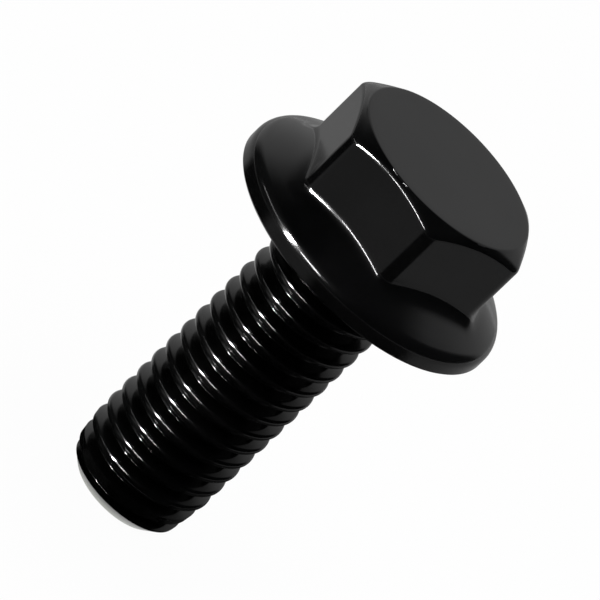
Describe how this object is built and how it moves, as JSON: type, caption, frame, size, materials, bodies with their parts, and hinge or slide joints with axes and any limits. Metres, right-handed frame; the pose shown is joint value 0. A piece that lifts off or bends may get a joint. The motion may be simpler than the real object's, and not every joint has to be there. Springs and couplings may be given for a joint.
{
  "type": "flange bolt",
  "caption": "black coated hexagon flange bolt with a fully threaded shank, conical washer face, chamfered head and chamfered end",
  "frame": {"origin": "centre of the flange's flat bearing face, where the bolt seats on the joint", "axes": "+Z is the bolt's axis, towards the top of the head; the shank runs down; one pair of flats faces +Y and -Y"},
  "size_m": [0.0176, 0.0176, 0.0278],
  "materials": {
    "black_coated_steel": "glossy black coating on steel"
  },
  "bodies": {
    "root": {"flange_bolt": "black_coated_steel"}
  },
  "joints": []
}
